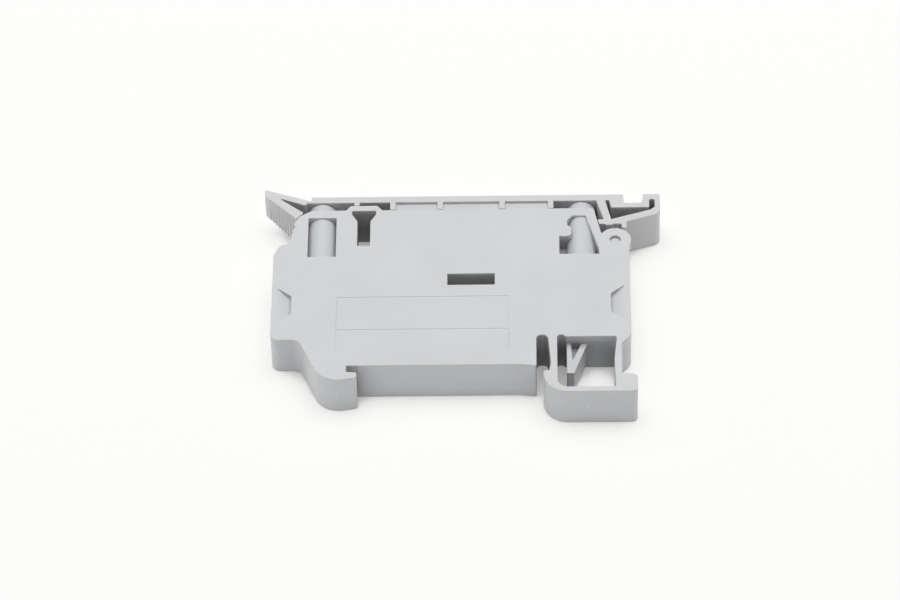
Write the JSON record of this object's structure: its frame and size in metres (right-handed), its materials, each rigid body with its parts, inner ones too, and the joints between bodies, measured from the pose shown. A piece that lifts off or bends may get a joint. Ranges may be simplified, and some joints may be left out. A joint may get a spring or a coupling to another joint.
{
  "type": "fuse holder",
  "caption": "Narrow rail-mounted fuse terminal block in light grey plastic: a hinged lever carries a cartridge fuse into spring clips, and screw clamps hold the wires.",
  "frame": {"origin": "on the rail seat, at the middle of the rail and of the block's thickness", "axes": "+X along the block, +Y away from the rail, +Z out of the closed side, which faces up as it lies"},
  "size_m": [0.0703, 0.049, 0.008],
  "materials": {
    "housing_plastic": "fine matt moulded polyamide",
    "lever_plastic": "fine matt moulded polyamide",
    "zinc_steel": "zinc plated",
    "tinned_brass": "tin plated",
    "spring_metal": "nickel plated spring sheet",
    "cap_metal": "nickel plated",
    "fuse_glass": "clear"
  },
  "bodies": {
    "block": {"housing": "housing_plastic", "current_bar_left": "tinned_brass", "current_bar_right": "tinned_brass", "fuse_clip_left": "spring_metal", "fuse_clip_right": "spring_metal", "clip_rivet_left": "zinc_steel", "clip_rivet_right": "zinc_steel"},
    "lever": {"fuse_lever": "lever_plastic", "fuse_tube": "fuse_glass", "fuse_cap_left": "cap_metal", "fuse_cap_right": "cap_metal", "fuse_wire": "tinned_brass"},
    "screw_left": {"clamp_screw_left": "zinc_steel"},
    "screw_right": {"clamp_screw_right": "zinc_steel"},
    "yoke_left": {"clamp_yoke_left": "zinc_steel"},
    "yoke_right": {"clamp_yoke_right": "zinc_steel"}
  },
  "joints": [
    {"name": "lever_hinge", "type": "hinge", "parent": "block", "child": "lever", "pos_m": [0.0293, 0.0295, 0], "axis": [0, 0, -1], "range_deg": [0, 90]},
    {"name": "screw_left_turn", "type": "hinge", "parent": "block", "child": "screw_left", "pos_m": [-0.0225, 0.02, 0.0006], "axis": [0, -1, 0], "range_deg": [0, 2412]},
    {"name": "screw_right_turn", "type": "hinge", "parent": "block", "child": "screw_right", "pos_m": [0.0234, 0.02, 0.0006], "axis": [0, -1, 0], "range_deg": [0, 2412]},
    {"name": "yoke_left_lift", "type": "slide", "parent": "block", "child": "yoke_left", "axis": [0, 1, 0], "range_m": [0, 0.003]},
    {"name": "yoke_right_lift", "type": "slide", "parent": "block", "child": "yoke_right", "axis": [0, 1, 0], "range_m": [0, 0.003]}
  ],
  "couplings": [
    {"joint": "screw_left_turn", "follows": "yoke_left_lift", "rad_per_m": 13960},
    {"joint": "screw_right_turn", "follows": "yoke_right_lift", "rad_per_m": 13960}
  ]
}
